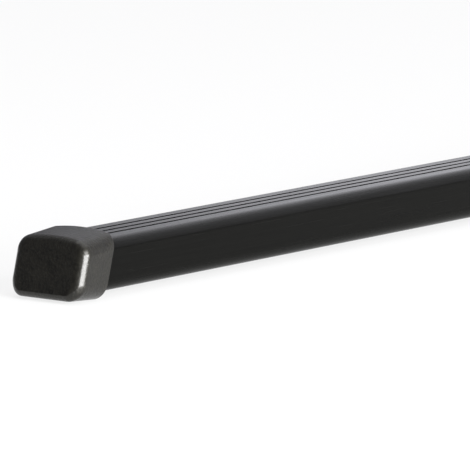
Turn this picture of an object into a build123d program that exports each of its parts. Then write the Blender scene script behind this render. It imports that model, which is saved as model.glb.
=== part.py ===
"""Roof rack crossbar: a plastic-coated steel box tube with a slanted moulded cap on each end.

The bar lies along X with its width along Y and its height along Z. The origin is at the middle of the
bar's length, on the plane that the two caps stand on. The cap at -X is modelled, and the one at +X is
its mirror image. All sizes are in millimetres and all angles in degrees.
"""

import os
from math import cos, radians, tan

from build123d import *

# Bar: a steel box tube inside an extruded plastic coat
BAR_LENGTH = 1270.0
BAR_WIDTH = 32.0
BAR_HEIGHT = 22.0
BAR_CORNER = 5.0
COAT = 1.0
TUBE_WALL = 2.0
TUBE_INNER_CORNER = 2.0

# Grip grooves along the top of the coat
GROOVE_COUNT = 3
GROOVE_PITCH = 5.6
GROOVE_WIDTH = 1.4
GROOVE_FLOOR = 0.45  # coat left under a groove

# End cap, outside: a skirt over the bar end, closed by a slanted end face
CAP_SLANT = 16.3  # lean of the rim and of the end face, the top set back along the bar
SKIRT_LAP = 8.6  # bar covered by the skirt along its bottom edge, where the cover is shortest
SKIRT_CLEARANCE = 0.2
SKIRT_SIDE = 2.6
SKIRT_FLOOR = 2.3
SKIRT_ROOF = 3.35  # on the crest of the arched top
SKIRT_CROWN = 1.8  # rise of the arched top from its sides to its crest
ROOF_DRAFT = 5.2
FLOOR_DRAFT = 3.5
CAP_CORNER = 6.9
END_ROUND = 3.5

# End cap, inside: a ledge that the bar end seats on and a ribbed plug that grips the tube
END_WALL = 3.0
SEAT_LEDGE = 1.5
PLUG_DEPTH = 22.0
PLUG_CLEARANCE = 0.5
PLUG_WALL = 1.8
PLUG_LEAD = 0.9
RIB_WIDTH = 1.2
RIB_SPREAD = 14.0  # between the two ribs of the plug's top, and of its bottom
RIB_SETBACK = 3.0  # clear of the seat and of the plug's tip

# Places worked out from the sizes above
CENTRE_Z = BAR_HEIGHT / 2 + SKIRT_CLEARANCE + SKIRT_FLOOR
TUBE_WIDTH = BAR_WIDTH - 2 * COAT
TUBE_HEIGHT = BAR_HEIGHT - 2 * COAT
TUBE_CORNER = BAR_CORNER - COAT
BORE_WIDTH = TUBE_WIDTH - 2 * TUBE_WALL
BORE_HEIGHT = TUBE_HEIGHT - 2 * TUBE_WALL
GROOVE_DEPTH = COAT - GROOVE_FLOOR
GROOVE_RADIUS = (GROOVE_WIDTH**2 / 4 + GROOVE_DEPTH**2) / (2 * GROOVE_DEPTH)

SLANT_RUN = tan(radians(CAP_SLANT))  # travel along the bar for each millimetre of height
SLANT_STRETCH = 1 / cos(radians(CAP_SLANT))  # slope length for each millimetre of height
BAR_END_X = -BAR_LENGTH / 2
END_X = BAR_END_X - END_WALL * SLANT_STRETCH - BAR_HEIGHT / 2 * SLANT_RUN
RIM_LOW = -CENTRE_Z
RIM_HIGH = BAR_HEIGHT / 2 + SKIRT_CLEARANCE + SKIRT_ROOF
RIM_X = BAR_END_X + SKIRT_LAP - RIM_LOW * SLANT_RUN
CAP_LENGTH = RIM_X - END_X
END_LOW = RIM_LOW + CAP_LENGTH * tan(radians(FLOOR_DRAFT))
END_HIGH = RIM_HIGH - CAP_LENGTH * tan(radians(ROOF_DRAFT))
CAP_HALF_WIDTH = BAR_WIDTH / 2 + SKIRT_CLEARANCE + SKIRT_SIDE
ROOF_STOCK = CAP_LENGTH + 2 * (RIM_HIGH - RIM_LOW)  # from the roof to well past the cap's floor and ends
PLUG_WIDTH = BORE_WIDTH - 2 * PLUG_CLEARANCE
PLUG_HEIGHT = BORE_HEIGHT - 2 * PLUG_CLEARANCE
PLUG_BEVEL = TUBE_INNER_CORNER - PLUG_CLEARANCE  # cut off each corner, to clear the round ones of the bore
PLUG_BORE_BEVEL = PLUG_BEVEL / 2
HOLLOW_BEVEL = max(BAR_CORNER - SEAT_LEDGE, PLUG_BEVEL)
NOSE_STOCK = BAR_END_X - END_X + BAR_HEIGHT  # from the bar end to well past the end wall
PLUG_STOCK = PLUG_DEPTH + NOSE_STOCK


def cross_plane(x):
    """Plane square to the bar at x, on the bar's centre line, facing +X."""
    return Plane(origin=(x, 0, CENTRE_Z), x_dir=(0, 1, 0), z_dir=(1, 0, 0))


def slanted_plane(x):
    """Plane that leans with the cap, through the bar's centre line at x, facing the cap's outside."""
    return Plane(origin=(x, 0, CENTRE_Z), x_dir=(0, -1, 0), z_dir=(-1, 0, SLANT_RUN))


def slanted_point(x, height):
    """Point in the bar's middle plane, at a height above its centre line, on the slanted plane at x."""
    return Vector(x + height * SLANT_RUN, 0, CENTRE_Z + height)


os.makedirs("parts", exist_ok=True)

# Steel tube: carries the load, open at both ends
with BuildPart() as steel_tube:
    with BuildSketch(cross_plane(0)):
        RectangleRounded(TUBE_WIDTH, TUBE_HEIGHT, TUBE_CORNER)
        RectangleRounded(BORE_WIDTH, BORE_HEIGHT, TUBE_INNER_CORNER, mode=Mode.SUBTRACT)
    extrude(amount=BAR_LENGTH / 2, both=True)

# Bar coat: extruded onto the tube, with grip grooves along its top
with BuildPart() as bar_coat:
    with BuildSketch(cross_plane(0)):
        RectangleRounded(BAR_WIDTH, BAR_HEIGHT, BAR_CORNER)
        RectangleRounded(TUBE_WIDTH, TUBE_HEIGHT, TUBE_CORNER, mode=Mode.SUBTRACT)
        with Locations((0, BAR_HEIGHT / 2 - GROOVE_DEPTH + GROOVE_RADIUS)):
            with GridLocations(GROOVE_PITCH, 0, GROOVE_COUNT, 1):
                Circle(GROOVE_RADIUS, mode=Mode.SUBTRACT)
    extrude(amount=BAR_LENGTH / 2, both=True)

# Cap plug: a hollow spigot with crush ribs, cut off inside the slanted end wall
with BuildPart() as cap_plug:
    tip = cross_plane(BAR_END_X + PLUG_DEPTH)
    with BuildSketch(tip) as plug_section:
        Rectangle(PLUG_WIDTH, PLUG_HEIGHT)
        chamfer(plug_section.vertices(), length=PLUG_BEVEL)
    extrude(amount=-PLUG_STOCK)
    chamfer(cap_plug.faces().sort_by(Axis.X)[-1].edges(), length=PLUG_LEAD)
    with BuildSketch(tip) as plug_bore:
        Rectangle(PLUG_WIDTH - 2 * PLUG_WALL, PLUG_HEIGHT - 2 * PLUG_WALL)
        chamfer(plug_bore.vertices(), length=PLUG_BORE_BEVEL)
    extrude(amount=-PLUG_STOCK, mode=Mode.SUBTRACT)
    with BuildSketch(cross_plane(BAR_END_X + RIB_SETBACK)):
        with GridLocations(RIB_SPREAD, 0, 2, 1):
            Rectangle(RIB_WIDTH, BORE_HEIGHT)
        Rectangle(BORE_WIDTH, RIB_WIDTH)
        Rectangle(PLUG_WIDTH - PLUG_WALL, PLUG_HEIGHT - PLUG_WALL, mode=Mode.SUBTRACT)
    extrude(amount=PLUG_DEPTH - 2 * RIB_SETBACK)
    split(bisect_by=slanted_plane(END_X + END_WALL / 2 * SLANT_STRETCH), keep=Keep.BOTTOM)

# Cap hollow: the space inside the end wall that leaves the bar end a ledge to seat on
with BuildPart() as cap_hollow:
    with BuildSketch(cross_plane(BAR_END_X)) as hollow_section:
        Rectangle(BAR_WIDTH - 2 * SEAT_LEDGE, BAR_HEIGHT - 2 * SEAT_LEDGE)
        chamfer(hollow_section.vertices(), length=HOLLOW_BEVEL)
    extrude(amount=-NOSE_STOCK)
    split(bisect_by=slanted_plane(END_X + END_WALL * SLANT_STRETCH), keep=Keep.BOTTOM)

# Left end cap: one moulding, with a drafted side profile, an arched roof and rounded edges
with BuildPart() as left_end_cap:
    crest = slanted_point(RIM_X, RIM_HIGH)
    end_crest = slanted_point(END_X, END_HIGH)
    with BuildSketch(Plane.XZ):
        with BuildLine():
            profile = [crest, end_crest, slanted_point(END_X, END_LOW), slanted_point(RIM_X, RIM_LOW)]
            Polyline([(point.X, point.Z) for point in profile], close=True)
        make_face()
    extrude(amount=CAP_HALF_WIDTH, both=True)
    with BuildSketch(Plane(origin=crest, x_dir=(0, 1, 0), z_dir=end_crest - crest)):
        with BuildLine():
            ThreePointArc((-CAP_HALF_WIDTH, SKIRT_CROWN), (0, 0), (CAP_HALF_WIDTH, SKIRT_CROWN))
            Polyline(
                (CAP_HALF_WIDTH, SKIRT_CROWN),
                (CAP_HALF_WIDTH, ROOF_STOCK),
                (-CAP_HALF_WIDTH, ROOF_STOCK),
                (-CAP_HALF_WIDTH, SKIRT_CROWN),
            )
        make_face()
    extrude(amount=ROOF_STOCK, both=True, mode=Mode.INTERSECT)
    long_edges = ShapeList()
    for side in left_end_cap.faces().filter_by(Axis.Y):
        by_height = side.edges().sort_by(Axis.Z)
        long_edges += [by_height[0], by_height[-1]]
    fillet(long_edges, radius=CAP_CORNER)
    fillet(left_end_cap.faces().sort_by(Axis.X)[0].edges(), radius=END_ROUND)
    with BuildSketch(cross_plane(BAR_END_X)):
        RectangleRounded(
            BAR_WIDTH + 2 * SKIRT_CLEARANCE,
            BAR_HEIGHT + 2 * SKIRT_CLEARANCE,
            BAR_CORNER + SKIRT_CLEARANCE,
        )
    extrude(amount=CAP_LENGTH + RIM_HIGH, mode=Mode.SUBTRACT)
    add(cap_hollow.part, mode=Mode.SUBTRACT)
    add(cap_plug.part)

# Right end cap: the same moulding on the other end
with BuildPart() as right_end_cap:
    mirror(left_end_cap.part, about=Plane.YZ)

steel_tube.part.label = "steel_tube"
bar_coat.part.label = "bar_coat"
left_end_cap.part.label = "left_end_cap"
right_end_cap.part.label = "right_end_cap"

export_step(steel_tube.part, "parts/steel_tube.step")
export_step(bar_coat.part, "parts/bar_coat.step")
export_step(left_end_cap.part, "parts/left_end_cap.step")
export_step(right_end_cap.part, "parts/right_end_cap.step")
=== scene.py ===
"""Roof rack crossbar: the looks of a plastic-coated steel bar with a slanted moulded cap on each end.

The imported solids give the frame: the bar lies along X, its width along Y, its height along Z, and the two
caps stand on the floor at Z = 0. The steel tube keeps its solid. The coat and the caps are replaced by
smooth surfaces of the same form, each worked out as whole arrays of points. All sizes are in metres.
"""

import logging
import math
from dataclasses import dataclass, field
from enum import Enum
from typing import Sequence

import bpy
import numpy as np
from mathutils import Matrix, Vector


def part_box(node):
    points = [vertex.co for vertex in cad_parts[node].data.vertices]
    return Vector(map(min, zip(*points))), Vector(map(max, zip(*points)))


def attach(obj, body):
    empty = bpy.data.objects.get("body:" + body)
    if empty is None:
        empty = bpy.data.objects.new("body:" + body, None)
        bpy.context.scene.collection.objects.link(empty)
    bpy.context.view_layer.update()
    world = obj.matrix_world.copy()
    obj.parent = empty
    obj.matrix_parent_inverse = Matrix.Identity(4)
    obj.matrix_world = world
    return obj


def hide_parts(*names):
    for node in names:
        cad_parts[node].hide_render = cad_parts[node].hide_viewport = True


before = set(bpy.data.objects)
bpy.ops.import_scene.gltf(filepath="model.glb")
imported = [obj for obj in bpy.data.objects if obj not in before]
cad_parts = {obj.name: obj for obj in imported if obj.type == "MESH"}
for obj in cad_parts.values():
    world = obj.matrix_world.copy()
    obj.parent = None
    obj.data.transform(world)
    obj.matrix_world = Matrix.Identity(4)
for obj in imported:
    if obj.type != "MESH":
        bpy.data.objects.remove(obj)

LOG = logging.getLogger("crossbar")
MM = 0.001
PHOTO_SIDE = 470.0  # the image is this many pixels each way
SENSOR = 36.0  # camera sensor width, in the camera's own millimetres
CLIP = (0.1, 400.0)  # nearest and farthest that the camera sees
SHARP_ANGLE = math.radians(35.0)  # an edge that turns by more than this stays sharp
MIX_LOW, MIX_HIGH, MIX_RESULT = 6, 7, 2  # places of a Mix node's colour sockets, whose names repeat
WHITE = (1.0, 1.0, 1.0, 1.0)


class Body(Enum):
    """Bodies of the frame that pieces ride on."""

    ROOT = "root"


class Slot(Enum):
    """Material slots of the record for the coat and the caps. Nothing here reads them: the new pieces get
    new finishes.
    """

    COAT = "coat_plastic"
    CAP = "cap_plastic"


class BarEnd(Enum):
    """The two ends of the bar, by the sign of X there."""

    LEFT = -1
    RIGHT = 1


# Surfaces


def eased(count: int) -> np.ndarray:
    """Steps from 0 towards 1 that crowd at both ends, without the last: (1 - cos(pi t)) / 2.

    Args:
        count: number of steps.

    Returns:
        The steps as one row.
    """
    return (1 - np.cos(np.pi * np.arange(count) / count)) / 2


def arc(
    centre_y: float, centre_z: float, radius: float, start: float, stop: float, count: int
) -> np.ndarray:
    """Points of a circular arc, without the last one.

    Args:
        centre_y: centre across the bar.
        centre_z: centre in height.
        radius: radius of the arc.
        start: first angle in degrees, from +Y towards +Z.
        stop: last angle in degrees.
        count: number of points.

    Returns:
        An array of (y, z) rows.
    """
    angle = np.radians(start + (stop - start) * np.arange(count) / count)
    return np.stack([centre_y + radius * np.cos(angle), centre_z + radius * np.sin(angle)], axis=1)


def run(start: np.ndarray, stop: np.ndarray, count: int) -> np.ndarray:
    """Points of a straight run that crowd at its ends, without the last one.

    Args:
        start: first (y, z) point.
        stop: last (y, z) point.
        count: number of points.

    Returns:
        An array of (y, z) rows.
    """
    return start + eased(count)[:, None] * (stop - start)


@dataclass(frozen=True)
class Outline:
    """A round-cornered section with an arched top: the rule for where its ring of points lies.

    The ring starts at the middle of the floor, goes up the far side (+Y), over the roof and down the
    near side. Every outline has the same number of points, in the same order, so rings can be joined.
    """

    half_width: float
    low: float
    high: float
    corner: float
    crown: float = 0.0
    flat_steps: int = 18
    side_steps: int = 22
    roof_steps: int = 36
    corner_steps: int = 14

    def crown_radius(self) -> float:
        """Radius of the arched top, from its half width and its rise, or infinity where it is flat."""
        if self.crown == 0.0:
            return math.inf
        return (self.half_width**2 + self.crown**2) / (2 * self.crown)

    def roof_touch(self) -> tuple[float, float]:
        """Where a roof corner meets the arched top.

        A roof corner touches both its side and the arc. Its centre stands one corner radius in from the
        side, and the line from the arc's centre through it meets the arc where the two touch.

        Returns:
            The place across the bar, and the angle there in degrees, from +Y towards +Z.
        """
        inner = self.half_width - self.corner
        crown_radius = self.crown_radius()
        touch = math.degrees(math.acos(inner / (crown_radius - self.corner)))
        return inner / (1 - self.corner / crown_radius), touch

    def ring(self) -> np.ndarray:
        """Works out the ring: straight floor and sides, round corners, and one arc for the roof.

        Returns:
            An array of (y, z) rows.
        """
        radius = self.corner
        inner = self.half_width - radius
        touch_y, touch = self.roof_touch()
        roof_z = self.arch(np.array(touch_y)) - radius * math.sin(math.radians(touch))
        floor_z = self.low + radius
        middle = np.array([0.0, self.low])
        near_floor, far_floor = np.array([-inner, self.low]), np.array([inner, self.low])
        far_side = np.array([[self.half_width, floor_z], [self.half_width, roof_z]])
        near_side = far_side[::-1] * (-1, 1)
        roof_y = touch_y * (1 - 2 * eased(self.roof_steps))
        roof = np.stack([roof_y, self.arch(roof_y)], axis=1)
        return np.concatenate([
            run(middle, far_floor, self.flat_steps),
            arc(inner, floor_z, radius, -90, 0, self.corner_steps),
            run(far_side[0], far_side[1], self.side_steps),
            arc(inner, roof_z, radius, 0, touch, self.corner_steps),
            roof,
            arc(-inner, roof_z, radius, 180 - touch, 180, self.corner_steps),
            run(near_side[0], near_side[1], self.side_steps),
            arc(-inner, floor_z, radius, 180, 270, self.corner_steps),
            run(near_floor, middle, self.flat_steps),
        ])

    def arch(self, y: np.ndarray) -> np.ndarray:
        """Height of the roof at y: its top less y^2 / (R + sqrt(R^2 - y^2))."""
        crown_radius = self.crown_radius()
        return self.high - y**2 / (crown_radius + np.sqrt(crown_radius**2 - y**2))

    def normals(self) -> np.ndarray:
        """Outward normals at the ring's points: fixed on the flats, and along the radius on every arc.

        Returns:
            An array of (y, z) rows of length 1.
        """
        touch_y, touch = self.roof_touch()
        roof_y = touch_y * (1 - 2 * eased(self.roof_steps)) / self.crown_radius()
        flat = np.ones((self.flat_steps, 1))
        side = np.ones((self.side_steps, 1))
        return np.concatenate([
            flat * (0.0, -1.0),
            arc(0.0, 0.0, 1.0, -90, 0, self.corner_steps),
            side * (1.0, 0.0),
            arc(0.0, 0.0, 1.0, 0, touch, self.corner_steps),
            np.stack([roof_y, np.sqrt(1 - roof_y**2)], axis=1),
            arc(0.0, 0.0, 1.0, 180 - touch, 180, self.corner_steps),
            side * (-1.0, 0.0),
            arc(0.0, 0.0, 1.0, 180, 270, self.corner_steps),
            flat * (0.0, -1.0),
        ])


def unit(vectors: np.ndarray) -> np.ndarray:
    """Vectors along the last axis, brought to length 1."""
    return vectors / np.linalg.norm(vectors, axis=-1, keepdims=True)


def rounded_edge(
    edge: np.ndarray, wall_way: np.ndarray, face_way: np.ndarray, radius: np.ndarray, steps: int
) -> np.ndarray:
    """Rings of a round edge where a ruled wall meets a flat face.

    At each point of the edge, with w the angle between the straight lines of wall and face there, an arc
    touches both lines at radius / tan(w / 2) from the edge. It is the conic with the edge point as its
    middle control point, weighted by sin(w / 2), so the round runs smoothly into wall and face.

    Args:
        edge: ring of the sharp edge, points by 3.
        wall_way: unit directions from the edge along the wall, points by 3.
        face_way: unit directions from the edge into the face, points by 3.
        radius: radius of the arc at each point of the edge.
        steps: number of rings less one.

    Returns:
        An array of rings by points by 3, from the wall to the face.
    """
    half = np.arccos(np.einsum("ij,ij->i", wall_way, face_way))[:, None] / 2
    reach = radius[:, None] / np.tan(half)
    share = np.linspace(0, 1, steps + 1)[:, None, None]
    start, middle, stop = (1 - share) ** 2, 2 * share * (1 - share) * np.sin(half), share**2
    rings = start * (edge + reach * wall_way) + middle * edge + stop * (edge + reach * face_way)
    return rings / (start + middle + stop)


def skin(name: str, rings: np.ndarray, poles: Sequence[np.ndarray] = ()) -> bpy.types.Object:
    """Makes a closed mesh from rings of points, each joined to the next by four-sided faces.

    Args:
        name: name of the piece.
        rings: rings by points by 3. Each ring closes on itself.
        poles: the points that close the first and the last ring. Without them the last ring is joined
            to the first, as on a sleeve.

    Returns:
        The piece, at the origin, with its faces outwards.
    """
    count, width = rings.shape[:2]
    index = np.arange(count * width).reshape(count, width)
    rows = index if poles else np.concatenate([index, index[:1]])
    ahead = np.roll(rows, -1, axis=1)
    quads = np.stack([rows[:-1], ahead[:-1], ahead[1:], rows[1:]], axis=-1).reshape(-1, 4)
    points = rings.reshape(-1, 3)
    faces = quads.tolist()
    if poles:
        points = np.concatenate([points, np.array(poles)])
        first, last = count * width, count * width + 1
        start = np.stack([ahead[0], rows[0], np.full(width, first)], axis=-1)
        stop = np.stack([rows[-1], ahead[-1], np.full(width, last)], axis=-1)
        faces += start.tolist() + stop.tolist()
    a, b, c, d = (points[quads[:, corner]] - points.mean(axis=0) for corner in range(4))
    volume = np.einsum("ij,ij->i", a, np.cross(b, c) + np.cross(c, d)).sum()
    if volume < 0:
        faces = [face[::-1] for face in faces]
    mesh = bpy.data.meshes.new(name)
    mesh.from_pydata(points, [], faces)
    mesh.shade_smooth()
    mesh.set_sharp_from_angle(angle=SHARP_ANGLE)
    piece = bpy.data.objects.new(name, mesh)
    bpy.context.scene.collection.objects.link(piece)
    return piece


def square_ring(outline: np.ndarray, x: float) -> np.ndarray:
    """An outline stood square to the bar at x."""
    return np.column_stack([np.full(len(outline), x), outline])


def eased_rings(first: np.ndarray, last: np.ndarray, steps: int) -> np.ndarray:
    """Rings from first to last that crowd at both ends, without the last one.

    Args:
        first: first ring.
        last: last ring.
        steps: number of rings.

    Returns:
        An array of rings by points by 3.
    """
    return first + eased(steps)[:, None, None] * (last - first)


# Node helpers


@dataclass
class Board:
    """A node tree with short ways to add nodes and links."""

    tree: bpy.types.NodeTree

    def add(self, kind: str, settings: dict | None = None, inputs: dict | None = None) -> bpy.types.Node:
        """Adds a node, sets its properties, and sets or links its inputs.

        Args:
            kind: the node's type name.
            settings: properties of the node.
            inputs: input values by name or number. A socket is linked, anything else is set.

        Returns:
            The new node.
        """
        node = self.tree.nodes.new(kind)
        for name, value in (settings or {}).items():
            setattr(node, name, value)
        for name, value in (inputs or {}).items():
            if isinstance(value, bpy.types.NodeSocket):
                self.tree.links.new(value, node.inputs[name])
            else:
                node.inputs[name].default_value = value
        return node

    def remap(self, value: bpy.types.NodeSocket, low: float, high: float) -> bpy.types.NodeSocket:
        """A value from 0 to 1 laid onto the span from low to high."""
        node = self.add("ShaderNodeMapRange", {}, {"Value": value, "To Min": low, "To Max": high})
        return node.outputs["Result"]

    def ease(
        self, value: bpy.types.NodeSocket, edges: tuple[float, float], levels: tuple[float, float]
    ) -> bpy.types.NodeSocket:
        """A smooth step from one level to another as the value goes from one edge to the other."""
        low, high = edges
        start, stop = levels
        node = self.add(
            "ShaderNodeMapRange",
            {"interpolation_type": "SMOOTHSTEP"},
            {"Value": value, "From Min": low, "From Max": high, "To Min": start, "To Max": stop},
        )
        return node.outputs["Result"]

    def calculate(self, operation: str, *values: bpy.types.NodeSocket | float) -> bpy.types.NodeSocket:
        """The result of a Math node on sockets and numbers, in their order."""
        return self.add("ShaderNodeMath", {"operation": operation}, dict(enumerate(values))).outputs[0]

    def bump(self, height: bpy.types.NodeSocket, distance: float) -> bpy.types.NodeSocket:
        """The surface's normal, tilted by a height that stands for this distance where it is 1."""
        node = self.add("ShaderNodeBump", {}, {"Strength": 1.0, "Distance": distance, "Height": height})
        return node.outputs["Normal"]

    def blend(
        self, share: bpy.types.NodeSocket, low: Sequence[float], high: Sequence[float]
    ) -> bpy.types.NodeSocket:
        """A colour between two, by a share from 0 to 1."""
        node = self.add("ShaderNodeMix", {"data_type": "RGBA"}, {"Factor": share})
        node.inputs[MIX_LOW].default_value = (*low, 1)
        node.inputs[MIX_HIGH].default_value = (*high, 1)
        return node.outputs[MIX_RESULT]


def blank_material(name: str) -> tuple[bpy.types.Material, Board]:
    """A new material with no nodes, and the board to build it on."""
    made = bpy.data.materials.new(name)
    made.use_nodes = True
    made.node_tree.nodes.clear()
    return made, Board(made.node_tree)


def new_group(
    name: str, inputs: dict[str, str], outputs: dict[str, str]
) -> tuple[Board, dict[str, bpy.types.NodeSocket], bpy.types.Node]:
    """Starts a shader node group.

    Args:
        name: name of the group.
        inputs: socket types by input name.
        outputs: socket types by output name.

    Returns:
        The group's board, its inputs as sockets by name, and its output node.
    """
    tree = bpy.data.node_groups.new(name, "ShaderNodeTree")
    for label, kind in inputs.items():
        tree.interface.new_socket(label, in_out="INPUT", socket_type=kind)
    for label, kind in outputs.items():
        tree.interface.new_socket(label, in_out="OUTPUT", socket_type=kind)
    board = Board(tree)
    source = board.add("NodeGroupInput")
    return board, {label: source.outputs[label] for label in inputs}, board.add("NodeGroupOutput")


GRAIN_DETAIL = 3.0
GRAIN_ROUGHNESS = 0.6
COARSE_SPACING = 6.0  # of the coarse noise, over the fine one's
COARSE_DETAIL = 4.0
FINE_SHARE = 2.0  # of the fine noise, the grain's own height, in the tone, to one of the coarse noise; so the tone is partly painted shade in the grain's valleys
SHADE_AND_MOTTLE_SPAN = (1.1, 1.9)  # of the two added up, spread onto 0 to 1


def grain_group() -> bpy.types.NodeTree:
    """Grain of a skin: fine pebbles in height, and a tone of random mottle with painted shade in the
    pebbles' valleys.

    The height is a detailed noise whose spacing is set by Scale. The tone is twice that height and a
    noise six times coarser, added up and spread to fill 0 to 1. It is partly a random mottle and partly
    painted shade, which darkens the pebbles' valleys and lightens their crests.

    Returns:
        The group, with a Vector and a Scale in, and a Height and a Mottle_and_valley_shade out.
    """
    board, given, result = new_group(
        "plastic_grain",
        {"Vector": "NodeSocketVector", "Scale": "NodeSocketFloat"},
        {"Height": "NodeSocketFloat", "Mottle_and_valley_shade": "NodeSocketFloat"},
    )
    place, scale = given["Vector"], given["Scale"]
    fine = board.add(
        "ShaderNodeTexNoise",
        {},
        {"Vector": place, "Scale": scale, "Detail": GRAIN_DETAIL, "Roughness": GRAIN_ROUGHNESS},
    ).outputs["Fac"]
    coarse_scale = board.calculate("DIVIDE", scale, COARSE_SPACING)
    coarse = board.add(
        "ShaderNodeTexNoise", {}, {"Vector": place, "Scale": coarse_scale, "Detail": COARSE_DETAIL}
    ).outputs["Fac"]
    both = board.calculate("MULTIPLY_ADD", fine, FINE_SHARE, coarse)
    low, high = SHADE_AND_MOTTLE_SPAN
    mottle_and_valley_shade = board.add("ShaderNodeMapRange", {}, {"Value": both, "From Min": low, "From Max": high})
    board.tree.links.new(fine, result.inputs["Height"])
    board.tree.links.new(mottle_and_valley_shade.outputs["Result"], result.inputs["Mottle_and_valley_shade"])
    return board.tree


def drawn_grain(
    board: Board, place: bpy.types.NodeSocket, grain: bpy.types.NodeTree, scale: float, stretch: float
) -> bpy.types.Node:
    """Puts the grain group on a board.

    Args:
        board: board of the material.
        place: the coordinates.
        grain: the shared grain group.
        scale: noise cells per metre.
        stretch: share of that scale along X. 1 leaves round pebbles, and less draws them out.

    Returns:
        The group's node.
    """
    drawn = board.add("ShaderNodeMapping", {}, {"Vector": place, "Scale": (stretch, 1.0, 1.0)})
    return board.add(
        "ShaderNodeGroup", {"node_tree": grain}, {"Vector": drawn.outputs["Vector"], "Scale": scale}
    )


# Finishes


@dataclass(frozen=True)
class GrainedPlastic:
    """A dark plastic skin with a grain that may be drawn out along the bar.

    The stretch divides the pattern's spacing along X: 1 leaves a pebbled moulding, and a small value
    leaves the long streaks of an extrusion.
    """

    name: str
    dark: tuple[float, float, float]
    light: tuple[float, float, float]
    smooth: float
    rough: float
    specular: float
    specular_tint: tuple[float, float, float]
    grain_scale: float
    stretch: float
    bump_height: float
    polish: float = 0.0  # weight of a smooth layer on top of the grain
    polish_rough: float = 0.2

    def material(self, grain: bpy.types.NodeTree) -> bpy.types.Material:
        """Builds the material.

        Args:
            grain: the shared grain group.

        Returns:
            The material, patterned by Object coordinates.
        """
        made, board = blank_material(self.name)
        place = board.add("ShaderNodeTexCoord").outputs["Object"]
        pebbles = drawn_grain(board, place, grain, self.grain_scale, self.stretch)
        mottle_and_valley_shade = pebbles.outputs["Mottle_and_valley_shade"]
        shader = board.add(
            "ShaderNodeBsdfPrincipled",
            {},
            {
                # base colour by the grain's tone: a random mottle, and painted shade that darkens the
                # grain's valleys
                "Base Color": board.blend(mottle_and_valley_shade, self.dark, self.light),
                "Roughness": board.remap(mottle_and_valley_shade, self.smooth, self.rough),
                "Specular IOR Level": self.specular,
                "Specular Tint": (*self.specular_tint, 1),
                "Coat Weight": self.polish,
                "Coat Roughness": self.polish_rough,
                "Normal": board.bump(pebbles.outputs["Height"], self.bump_height),
            },
        )
        board.add("ShaderNodeOutputMaterial", {}, {"Surface": shader.outputs[0]})
        return made


@dataclass(frozen=True)
class ZincSteel:
    """Zinc-plated steel tube: a mottled grey metal with faint draw lines along the bar."""

    name: str = "zinc_plated_steel"
    dark: tuple[float, float, float] = (0.36, 0.37, 0.39)
    light: tuple[float, float, float] = (0.56, 0.57, 0.59)
    smooth: float = 0.28
    rough: float = 0.5
    spangle_scale: float = 160.0
    line_scale: float = 900.0
    line_stretch: float = 0.02
    line_height: float = 0.01 * MM

    def material(self, grain: bpy.types.NodeTree) -> bpy.types.Material:
        """Builds the material.

        Args:
            grain: the shared grain group.

        Returns:
            The material, patterned by Object coordinates.
        """
        made, board = blank_material(self.name)
        place = board.add("ShaderNodeTexCoord").outputs["Object"]
        spangle = board.add("ShaderNodeTexVoronoi", {}, {"Vector": place, "Scale": self.spangle_scale})
        tone = board.add("ShaderNodeSeparateColor", {}, {"Color": spangle.outputs["Color"]}).outputs[0]
        lines = drawn_grain(board, place, grain, self.line_scale, self.line_stretch)
        shader = board.add(
            "ShaderNodeBsdfPrincipled",
            {},
            {
                "Base Color": board.blend(tone, self.dark, self.light),
                "Roughness": board.remap(lines.outputs["Mottle_and_valley_shade"], self.smooth, self.rough),
                "Metallic": 1.0,
                "Normal": board.bump(lines.outputs["Height"], self.line_height),
            },
        )
        board.add("ShaderNodeOutputMaterial", {}, {"Surface": shader.outputs[0]})
        return made


COAT_FINISH = GrainedPlastic(
    name="extruded_black_coat",
    dark=(0.006, 0.006, 0.0053),
    light=(0.009, 0.009, 0.0079),
    smooth=0.22,
    rough=0.28,
    specular=0.08,
    specular_tint=(1.0, 1.0, 0.93),
    grain_scale=900.0,
    stretch=0.02,
    bump_height=0.004 * MM,
)
CAP_FINISH = GrainedPlastic(
    name="moulded_black_cap",
    dark=(0.001, 0.00095, 0.0008),
    light=(0.009, 0.0083, 0.0062),
    smooth=0.32,
    rough=0.42,
    specular=0.25,
    specular_tint=(1.0, 0.975, 0.9),
    grain_scale=900.0,
    stretch=1.0,
    bump_height=0.28 * MM,
    polish=0.5,
    polish_rough=0.16,
)


# Sub-assemblies


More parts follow.
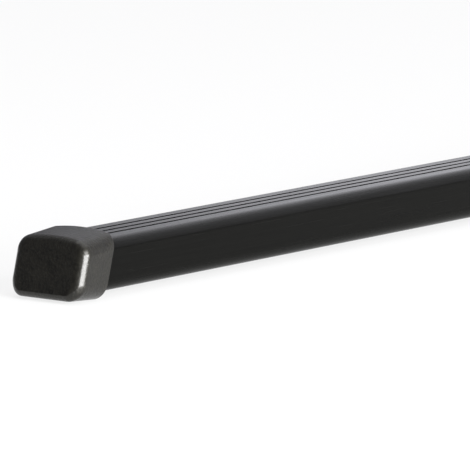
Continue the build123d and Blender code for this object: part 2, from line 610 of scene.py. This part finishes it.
@dataclass
class CoatedBar:
    """The steel tube and the plastic coat extruded onto it, with grip grooves along the top."""

    corner: float = 5.0 * MM
    groove_count: int = 3
    groove_pitch: float = 5.6 * MM
    groove_width: float = 1.8 * MM
    groove_depth: float = 0.55 * MM
    groove_power: float = 8.0
    groove_steps: int = 24
    land_steps: int = 16
    stations: int = 48
    low: Vector = field(default_factory=lambda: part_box("bar_coat")[0])
    high: Vector = field(default_factory=lambda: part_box("bar_coat")[1])
    tube_high: Vector = field(default_factory=lambda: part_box("steel_tube")[1])

    def half_width(self) -> float:
        """Half of the bar's width."""
        return self.high.y

    def thickness(self) -> float:
        """Thickness of the coat on the tube."""
        return self.high.y - self.tube_high.y

    def top_line(self) -> np.ndarray:
        """Places across the bar's flat top, from +Y to -Y, dense over each groove.

        Returns:
            The places as one row, without the last.
        """
        inner = self.half_width() - self.corner
        centres = self.groove_pitch * (np.arange(self.groove_count) - (self.groove_count - 1) / 2)
        starts = centres[::-1] + self.groove_width / 2
        grooves = starts[:, None] - self.groove_width * eased(self.groove_steps)
        land_stops = np.append(starts, -inner)
        land_starts = np.insert(starts - self.groove_width, 0, inner)
        lands = land_starts[:, None] + (land_stops - land_starts)[:, None] * eased(self.land_steps)
        return np.concatenate([np.concatenate([lands[:-1], grooves], axis=1).ravel(), lands[-1]])

    def groove_drop(self, y: np.ndarray) -> np.ndarray:
        """Depth of the grooves at y: a half superellipse over each groove's width, and none between.

        With t the distance from the groove's middle over half its width, and p the power, the depth is
        the groove's own times (1 - t^p)^(1 / p). A higher power has steeper walls and a flatter floor.

        Args:
            y: places across the bar.

        Returns:
            The depths.
        """
        span = self.groove_pitch * (self.groove_count - 1) / 2
        nearest = np.clip(np.round(y / self.groove_pitch) * self.groove_pitch, -span, span)
        away = np.minimum(np.abs(y - nearest) / (self.groove_width / 2), 1)
        return self.groove_depth * (1 - away**self.groove_power) ** (1 / self.groove_power)

    def section(self, inset: float) -> np.ndarray:
        """Outline of the coat, moved inwards by an even amount, with its grooves only where inset is 0.

        Args:
            inset: distance inwards from the outside.

        Returns:
            An array of (y, z) rows.
        """
        inner = self.half_width() - self.corner
        radius = self.corner - inset
        low, high = self.low.z + inset, self.high.z - inset
        side = self.half_width() - inset
        top = self.top_line()
        drop = self.groove_drop(top) if inset == 0 else np.zeros_like(top)
        corners = Outline.corner_steps
        rise = np.array([self.low.z + self.corner, self.high.z - self.corner])
        return np.concatenate([
            run(np.array([-inner, low]), np.array([inner, low]), 2 * Outline.flat_steps),
            arc(inner, rise[0], radius, -90, 0, corners),
            run(np.array([side, rise[0]]), np.array([side, rise[1]]), Outline.side_steps),
            arc(inner, rise[1], radius, 0, 90, corners),
            np.stack([top, high - drop], axis=1),
            arc(-inner, rise[1], radius, 90, 180, corners),
            run(np.array([-side, rise[1]]), np.array([-side, rise[0]]), Outline.side_steps),
            arc(-inner, rise[0], radius, 180, 270, corners),
        ])

    def build(self) -> bpy.types.Object:
        """Carries the coat's section along the bar, outside one way and inside back, as one closed sleeve.

        Returns:
            The coat.
        """
        along = np.linspace(self.low.x, self.high.x, self.stations)
        outside, inside = self.section(0.0), self.section(self.thickness())
        out = np.stack([square_ring(outside, x) for x in along])
        back = np.stack([square_ring(inside, x) for x in along[::-1]])
        return skin("coat_skin", np.concatenate([out, back]))

    def dress(self, coat: bpy.types.Object, grain: bpy.types.NodeTree) -> None:
        """Puts the finishes on the coat and on the tube's own solid, and seats the coat in the frame.

        Args:
            coat: the coat.
            grain: the shared grain group.
        """
        coat.data.materials.append(COAT_FINISH.material(grain))
        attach(coat, Body.ROOT.value)
        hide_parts("bar_coat")
        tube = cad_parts["steel_tube"]
        tube.data.materials.clear()
        tube.data.materials.append(ZincSteel().material(grain))


@dataclass
class EndCap:
    """A slanted moulded cap: a skirt over the bar's end, an end wall, and a hollow plug inside the tube.

    The cap is worked out for the left end. In the planes that lean with it, x - z tan(slant) is constant,
    and each point of the rim's outline runs to the end face along its own straight line.
    """

    end: BarEnd
    bar: CoatedBar
    slant: float = math.radians(16.3)
    lap: float = 8.6 * MM
    clearance: float = 0.2 * MM
    skirt_side: float = 2.6 * MM
    skirt_floor: float = 2.3 * MM
    skirt_roof: float = 3.35 * MM
    crown: float = 1.8 * MM
    roof_draft: float = math.radians(5.2)
    floor_draft: float = math.radians(3.5)
    corner: float = 6.9 * MM
    end_round: float = 3.6 * MM  # of the end's top edge
    side_round: float = 4.8 * MM  # of the end's two upright edges
    floor_round: float = 2.4 * MM  # of the end's bottom edge
    rim_round: float = 0.35 * MM
    end_wall: float = 3.0 * MM
    ledge: float = 1.5 * MM
    plug_half: tuple[float, float] = (12.5 * MM, 7.5 * MM)
    plug_corner: float = 1.5 * MM
    plug_wall: float = 1.8 * MM
    plug_lead: float = 0.9 * MM
    plug_depth: float = 22.0 * MM
    bore_corner: float = 0.75 * MM
    rim_steps: int = 6
    skirt_steps: int = 24
    round_steps: int = 20
    face_steps: int = 10
    face_middle: float = 0.02  # size of the end face's innermost ring, over its outermost

    def centre_z(self) -> float:
        """Height of the bar's centre line."""
        return (self.bar.low.z + self.bar.high.z) / 2

    def half_height(self) -> float:
        """Half of the bar's height."""
        return (self.bar.high.z - self.bar.low.z) / 2

    def lean(self) -> float:
        """Travel along the bar for each unit of height."""
        return math.tan(self.slant)

    def end_x(self) -> float:
        """Place of the end face on the bar's centre line."""
        return self.bar.low.x - self.end_wall / math.cos(self.slant) - self.half_height() * self.lean()

    def wall_x(self) -> float:
        """Place of the end wall's inner face on the bar's centre line."""
        return self.end_x() + self.end_wall / math.cos(self.slant)

    def rim_low(self) -> float:
        """Height of the rim's bottom, from the centre line."""
        return -(self.half_height() + self.clearance + self.skirt_floor)

    def rim_x(self) -> float:
        """Place of the rim's plane on the bar's centre line."""
        return self.bar.low.x + self.lap - self.rim_low() * self.lean()

    def leaning_ring(self, outline: np.ndarray, x: float) -> np.ndarray:
        """An outline laid in the leaning plane at x, with its heights from the centre line."""
        return np.column_stack([x + self.lean() * outline[:, 1], outline])

    def skirt_lines(self) -> tuple[np.ndarray, np.ndarray, np.ndarray]:
        """The rim's outline, the outline of the sharp end edge, and the direction along both.

        The section square to the roof is stretched where the leaning plane cuts it: depths below the
        crest by cos(slant) / cos(slant + roof angle), heights above the floor by
        cos(slant) / cos(slant - floor angle). From rim to end, a roof point sinks by tan(roof draft) and
        a floor point rises by tan(floor draft) for each unit of travel, and a side point does as its
        share of the height.

        Returns:
            The two outlines as (y, z) rows, with heights from the centre line, and their shared tangents.
        """
        low = self.rim_low()
        high = self.half_height() + self.clearance + self.skirt_roof
        half_width = self.bar.half_width() + self.clearance + self.skirt_side
        outline = Outline(half_width, low, high, self.corner, self.crown)
        sink, rise = math.tan(self.roof_draft), math.tan(self.floor_draft)
        roof_angle = math.atan(sink / (1 + sink * self.lean()))
        floor_angle = math.atan(rise / (1 - rise * self.lean()))
        roof_stretch = math.cos(self.slant) / math.cos(self.slant + roof_angle)
        floor_stretch = math.cos(self.slant) / math.cos(self.slant - floor_angle)
        y, z = outline.ring().T
        roof_z = high - (high - z) * roof_stretch
        floor_z = low + (z - low) * floor_stretch
        upper = np.clip((z - low - self.corner) / (high - low - 2 * self.corner - self.crown), 0, 1)
        rim_z = floor_z + upper * (roof_z - floor_z)
        travel = self.rim_x() - self.end_x()
        end_z = rim_z + travel * (rise - upper * (rise + sink))
        normal_y, normal_z = outline.normals().T
        stretch = np.where(upper < 0.5, floor_stretch, roof_stretch)
        along = np.column_stack([-normal_z, stretch * normal_y])
        return np.column_stack([y, rim_z]), np.column_stack([y, end_z]), along

    def outside_rings(self) -> np.ndarray:
        """Rings of the cap's outside: rim round, skirt, end round and end face, from rim to end.

        The end's round has one radius along the roof, one along the floor and one down the sides. Round
        the corners it goes from one to the next by the square of how far the edge faces sideways.

        Returns:
            An array of rings by points by 3.
        """
        rim_line, end_line, along = self.skirt_lines()
        rim = self.leaning_ring(rim_line, self.rim_x())
        end = self.leaning_ring(end_line, self.end_x())
        rim_facing = np.array([math.cos(self.slant), 0.0, -math.sin(self.slant)])
        inward = unit(np.cross(rim_facing, self.leaning_ring(along, 0.0)))
        back = unit(rim - end)
        level = np.where(inward[:, 2] > 0, self.floor_round, self.end_round)
        radius = level + (self.side_round - level) * inward[:, 1] ** 2
        rim_radius = np.full(len(rim), self.rim_round)
        rim_round = rounded_edge(rim, -back, inward, rim_radius, self.rim_steps)[::-1]
        end_round = rounded_edge(end, back, inward, radius, self.round_steps)
        skirt = eased_rings(rim_round[-1], end_round[0], self.skirt_steps)
        centre = np.array([self.end_x(), 0.0, 0.0])
        innermost = centre + self.face_middle * (end_round[-1] - centre)
        face = eased_rings(end_round[-1], innermost, self.face_steps)
        return np.concatenate([rim_round, skirt[1:], end_round, face[1:]])

    def inside_rings(self) -> np.ndarray:
        """Rings of the cap's inside: plug bore, plug, nose hollow, ledge and socket, out to the rim.

        Returns:
            An array of rings by points by 3.
        """
        half_width, half_height = self.bar.half_width(), self.half_height()
        plug_width, plug_height = self.plug_half

        def box_line(width: float, height: float, corner: float) -> np.ndarray:
            """A plain round-cornered outline about the centre line."""
            return Outline(width, -height, height, corner).ring()

        bore = box_line(plug_width - self.plug_wall, plug_height - self.plug_wall, self.bore_corner)
        lead = self.plug_lead
        nose = box_line(plug_width - lead, plug_height - lead, self.plug_corner - lead)
        plug = box_line(plug_width, plug_height, self.plug_corner)
        hollow = box_line(half_width - self.ledge, half_height - self.ledge, self.bar.corner - self.ledge)
        socket = box_line(
            half_width + self.clearance, half_height + self.clearance, self.bar.corner + self.clearance
        )
        seat = self.bar.low.x
        tip = seat + self.plug_depth
        return np.stack([
            self.leaning_ring(bore, self.wall_x()),
            square_ring(bore, tip),
            square_ring(nose, tip),
            square_ring(plug, tip - lead),
            self.leaning_ring(plug, self.wall_x()),
            self.leaning_ring(hollow, self.wall_x()),
            square_ring(hollow, seat),
            square_ring(socket, seat),
            self.leaning_ring(socket, self.rim_x()),
        ])

    def build(self) -> bpy.types.Object:
        """Joins the inside and the outside into one closed moulding, and mirrors it for the right end.

        Returns:
            The cap.
        """
        rings = np.concatenate([self.inside_rings(), self.outside_rings()])
        poles = np.array([[self.wall_x(), 0.0, 0.0], [self.end_x(), 0.0, 0.0]])
        place = np.array([0.0, 0.0, self.centre_z()])
        turn = np.array([-self.end.value, 1.0, 1.0])
        name = f"{self.end.name.lower()}_cap_skin"
        return skin(name, (rings + place) * turn, list((poles + place) * turn))

    def dress(self, cap: bpy.types.Object, finish: bpy.types.Material) -> None:
        """Puts the finish on the cap and seats it in the frame.

        Args:
            cap: the cap.
            finish: the moulded plastic.
        """
        cap.data.materials.append(finish)
        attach(cap, Body.ROOT.value)
        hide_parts(f"{self.end.name.lower()}_end_cap")


# Studio


@dataclass(frozen=True)
class Softbox:
    """A rectangular lamp of even radiance, on everything or only on what it is set to."""

    name: str
    place: tuple[float, float, float]  # from the floor under the point that it faces
    width: float
    height: float
    radiance: float

    def build(self, aim: Vector, lit: Sequence[bpy.types.Object] = ()) -> None:
        """Makes the lamp. Its power is pi times its area times its radiance.

        Args:
            aim: the point that it faces.
            lit: what it is set to, or nothing for everything.
        """
        data = bpy.data.lights.new(self.name, "AREA")
        data.shape = "RECTANGLE"
        data.size, data.size_y = self.width, self.height
        data.energy = math.pi * self.width * self.height * self.radiance
        lamp = bpy.data.objects.new(self.name, data)
        lamp.location = Vector((aim.x, aim.y, 0.0)) + Vector(self.place)
        lamp.rotation_euler = (aim - lamp.location).to_track_quat("-Z", "Y").to_euler()
        lamp.visible_camera = False
        bpy.context.scene.collection.objects.link(lamp)
        if lit:
            lamp.light_linking.receiver_collection = bpy.data.collections.new(f"{self.name}_lit")
        for piece in lit:
            lamp.light_linking.receiver_collection.objects.link(piece)


FRONT_LAMP = Softbox("front", place=(-0.4, -2.0, 0.32), width=2.0, height=0.54, radiance=31.0)
UPPER_LAMP = Softbox("upper_front", place=(-0.4, -1.9, 0.96), width=1.4, height=0.8, radiance=10.0)
OVERHEAD_LAMP = Softbox("overhead", place=(0.0, 0.0, 2.6), width=3.0, height=3.0, radiance=1.4)


@dataclass
class Studio:
    """The pale floor, the soft surround, the lamps and the camera."""

    floor_half: float = 150.0
    floor_tone: float = 0.86
    floor_white: float = 0.78  # share of plain white in what the camera and reflections see of the floor
    surround_dim: float = 0.14  # level of the surround all round
    surround_tint: tuple[float, float, float] = (0.98, 0.98, 1.045)
    dome_glow: float = 0.21
    dome_sides: tuple[float, float] = (-0.9, 0.3)  # cosines from the bar's line, where it comes in
    dome_rise: tuple[float, float] = (0.0, 0.75)  # sines of the heights where it comes in
    arch_cosine: float = 0.795  # of the arch's angle from the bar's line
    arch_edges: tuple[float, float] = (0.01, 0.05)  # off that cosine: where it is full, and where it ends
    arch_glow: tuple[float, float] = (0.64, 4.0)  # at its back foot and at its top and front
    arch_axis: tuple[float, float, float] = (0.0, -0.5, 0.86)
    arch_rise: tuple[float, float] = (-0.5, 0.5)  # cosines from the axis between which the glow rises
    arch_foot: tuple[float, float] = (0.0, 0.12)  # sines of the heights between which the arch fades in
    azimuth: float = math.radians(-52.18)
    elevation: float = math.radians(8.68)
    distance: float = 2.559
    focal_pixels: float = 6264.6
    anchor_pixel: tuple[float, float] = (69.34, 263.84)
    anchor_inset: float = 8.7 * MM  # from the coat's left end to the anchor, on the bar's centre line

    def anchor(self) -> Vector:
        """Point on the bar's centre line that the camera and the lamps in front are placed by."""
        low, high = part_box("bar_coat")
        return Vector((low.x + self.anchor_inset, 0.0, (low.z + high.z) / 2))

    def build_floor(self) -> bpy.types.Object:
        """Makes the floor: white in the camera's and in mirrored sight, and shaded by the object.

        Returns:
            The floor.
        """
        side = self.floor_half
        mesh = bpy.data.meshes.new("floor")
        corners = np.array([[-side, -side, 0.0], [side, -side, 0.0], [side, side, 0.0], [-side, side, 0.0]])
        mesh.from_pydata(corners, [], [(0, 1, 2, 3)])
        floor = bpy.data.objects.new("floor", mesh)
        bpy.context.scene.collection.objects.link(floor)
        made, board = blank_material("pale_floor")
        sight = board.add("ShaderNodeLightPath").outputs
        seen = board.calculate("ADD", sight["Is Camera Ray"], sight["Is Glossy Ray"])
        seen = board.calculate("ADD", seen, sight["Is Transmission Ray"])
        share = board.calculate("MULTIPLY", board.calculate("MINIMUM", seen, 1.0), self.floor_white)
        matt = board.add("ShaderNodeBsdfDiffuse", {}, {"Color": (*[self.floor_tone] * 3, 1)})
        white = board.add("ShaderNodeEmission", {}, {"Color": WHITE, "Strength": 1.0})
        mixed = board.add("ShaderNodeMixShader", {}, {0: share, 1: matt.outputs[0], 2: white.outputs[0]})
        board.add("ShaderNodeOutputMaterial", {}, {"Surface": mixed.outputs[0]})
        mesh.materials.append(made)
        return floor

    def build_surround(self) -> None:
        """Makes the soft surround: dim all round, with a dome of soft light and an arch over the far end.

        The dome comes in smoothly with height, and along the bar. The arch is a ring of directions at one
        angle from the bar's line, with soft edges, and its glow rises from its back foot to its front.
        """
        world = bpy.data.worlds.new("soft_surround")
        world.use_nodes = True
        world.node_tree.nodes.clear()
        board = Board(world.node_tree)
        way = board.add("ShaderNodeTexCoord").outputs["Generated"]
        parts = board.add("ShaderNodeSeparateXYZ", {}, {0: way}).outputs
        high = board.ease(parts["Z"], self.dome_rise, (0.0, self.dome_glow))
        share = board.ease(parts["X"], self.dome_sides, (0.0, 1.0))
        dome = board.calculate("MULTIPLY_ADD", high, share, self.surround_dim)
        off = board.calculate("ABSOLUTE", board.calculate("SUBTRACT", parts["X"], self.arch_cosine))
        band = board.ease(off, self.arch_edges, (1.0, 0.0))
        foot = board.ease(parts["Z"], self.arch_foot, (0.0, 1.0))
        axis = Vector(self.arch_axis).normalized()
        facing = board.add("ShaderNodeVectorMath", {"operation": "DOT_PRODUCT"}, {0: way, 1: axis})
        glow = board.ease(facing.outputs["Value"], self.arch_rise, self.arch_glow)
        tone = board.calculate("MULTIPLY_ADD", board.calculate("MULTIPLY", band, foot), glow, dome)
        light = board.add("ShaderNodeBackground", {}, {"Color": (*self.surround_tint, 1), "Strength": tone})
        board.add("ShaderNodeOutputWorld", {}, {"Surface": light.outputs[0]})
        bpy.context.scene.world = world

    def build_lamps(self, lit: Sequence[bpy.types.Object]) -> None:
        """Makes the lamps: a wide one in front of the left end, a fainter one above it, and one overhead.

        The two in front leave out the coat, whose flat top would mirror them as a glare from behind.

        Args:
            lit: what the two lamps in front are set to.
        """
        FRONT_LAMP.build(self.anchor(), lit)
        UPPER_LAMP.build(self.anchor(), lit)
        OVERHEAD_LAMP.build(Vector())

    def build_camera(self) -> None:
        """Makes the camera: at its angle and distance, with the anchor point at the anchor pixel."""
        back = Vector((
            math.sin(self.azimuth) * math.cos(self.elevation),
            -math.cos(self.azimuth) * math.cos(self.elevation),
            math.sin(self.elevation),
        ))
        data = bpy.data.cameras.new("photo_camera")
        data.sensor_width = SENSOR
        data.lens = self.focal_pixels / PHOTO_SIDE * SENSOR
        data.clip_start, data.clip_end = CLIP
        camera = bpy.data.objects.new("photo_camera", data)
        turn = (-back).to_track_quat("-Z", "Y")
        camera.rotation_euler = turn.to_euler()
        scale = self.distance / self.focal_pixels
        right = (self.anchor_pixel[0] - PHOTO_SIDE / 2) * scale
        up = (PHOTO_SIDE / 2 - self.anchor_pixel[1]) * scale
        camera.location = self.anchor() - turn @ Vector((right, up, -self.distance))
        bpy.context.scene.collection.objects.link(camera)
        bpy.context.scene.camera = camera

    def build(self, caps: Sequence[bpy.types.Object]) -> None:
        """Makes the whole studio and sets the plain view transform.

        Args:
            caps: the two end caps, which the lamps in front are set to.
        """
        floor = self.build_floor()
        self.build_surround()
        self.build_lamps([*caps, floor])
        self.build_camera()
        bpy.context.scene.view_settings.view_transform = "Standard"


def main() -> None:
    """Builds the bar, the caps and the studio."""
    logging.basicConfig(level=logging.INFO, format="%(name)s: %(message)s")
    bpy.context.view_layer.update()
    grain = grain_group()
    bar = CoatedBar()
    coat = bar.build()
    bar.dress(coat, grain)
    LOG.info("%s: %d faces", coat.name, len(coat.data.polygons))
    moulded = CAP_FINISH.material(grain)
    caps = []
    for end in BarEnd:
        maker = EndCap(end, bar)
        cap = maker.build()
        maker.dress(cap, moulded)
        caps.append(cap)
        LOG.info("%s: %d faces", cap.name, len(cap.data.polygons))
    Studio().build(caps)


if __name__ == "__main__":
    main()
